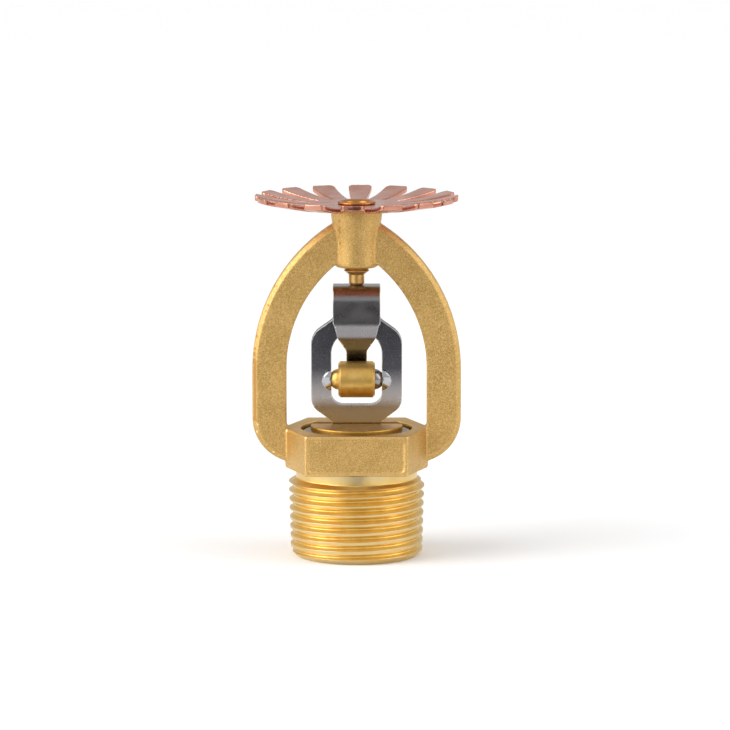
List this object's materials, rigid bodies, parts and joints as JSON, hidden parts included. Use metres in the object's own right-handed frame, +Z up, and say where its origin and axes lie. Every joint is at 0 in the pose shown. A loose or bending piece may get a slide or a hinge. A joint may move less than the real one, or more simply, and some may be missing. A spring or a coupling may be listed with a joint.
{
  "type": "fire sprinkler head",
  "caption": "Frame-style fire sprinkler head with slotted disc deflector, strut and lever trigger, fusible-alloy capsule, spring seal and tapered pipe thread.",
  "frame": {"origin": "on the sprinkler's axis, at the open end of the threaded nipple", "axes": "+Z up the axis from the nipple to the deflector; +X towards one yoke arm; -Y is the front, where the lever hangs"},
  "size_m": [0.041, 0.0398, 0.0713],
  "materials": {
    "cast_brass": "sand-cast and blasted, matte",
    "deflector_copper": "satin stamped sheet",
    "screw_bronze": "machined",
    "stainless_sheet": "satin rolled sheet",
    "turned_brass": "bright turned",
    "fusible_alloy": "dull cast solder",
    "bright_steel": "polished ball",
    "spring_steel": "satin",
    "ptfe_film": "matte film"
  },
  "bodies": {
    "frame": {"frame": "cast_brass", "deflector": "deflector_copper"},
    "load_screw": {"load_screw": "screw_bronze"},
    "seal": {"cap": "turned_brass", "disc_spring": "spring_steel", "gasket": "ptfe_film"},
    "strut": {"strut": "stainless_sheet"},
    "lever": {"trigger_lever": "stainless_sheet"},
    "capsule": {"capsule_barrel": "turned_brass", "fusible_alloy": "fusible_alloy"},
    "ball": {"capsule_ball": "bright_steel", "thrust_disc": "turned_brass"}
  },
  "joints": [
    {"name": "screw_turn", "type": "hinge", "parent": "frame", "child": "load_screw", "pos_m": [0, 0, 0.06], "axis": [0, 0, 1], "continuous": true},
    {"name": "seal_lift", "type": "slide", "parent": "frame", "child": "seal", "axis": [0, 0, 1], "range_m": [0, 0.0005]},
    {"name": "strut_fall", "type": "hinge", "parent": "seal", "child": "strut", "pos_m": [0, 0.00171, 0.02639], "axis": [1, 0, 0], "range_deg": [0, 55]},
    {"name": "lever_swing", "type": "hinge", "parent": "strut", "child": "lever", "pos_m": [0, -0.00111, 0.05154], "axis": [-1, 0, 0], "range_deg": [0, 2.42]},
    {"name": "capsule_shift", "type": "slide", "parent": "strut", "child": "capsule", "axis": [0.6508, -0.7545, -0.0846], "range_m": [0, 0.000927]},
    {"name": "ball_retract", "type": "slide", "parent": "capsule", "child": "ball", "axis": [-1, 0, 0], "range_m": [0, 0.0012], "deforming": ["fusible_alloy"]}
  ],
  "couplings": [
    {"joint": "strut_fall", "follows": "seal_lift", "rad_per_m": 1919.8},
    {"joint": "lever_swing", "follows": "ball_retract", "rad_per_m": 34.907},
    {"joint": "capsule_shift", "follows": "ball_retract", "ratio": 0.7683}
  ]
}
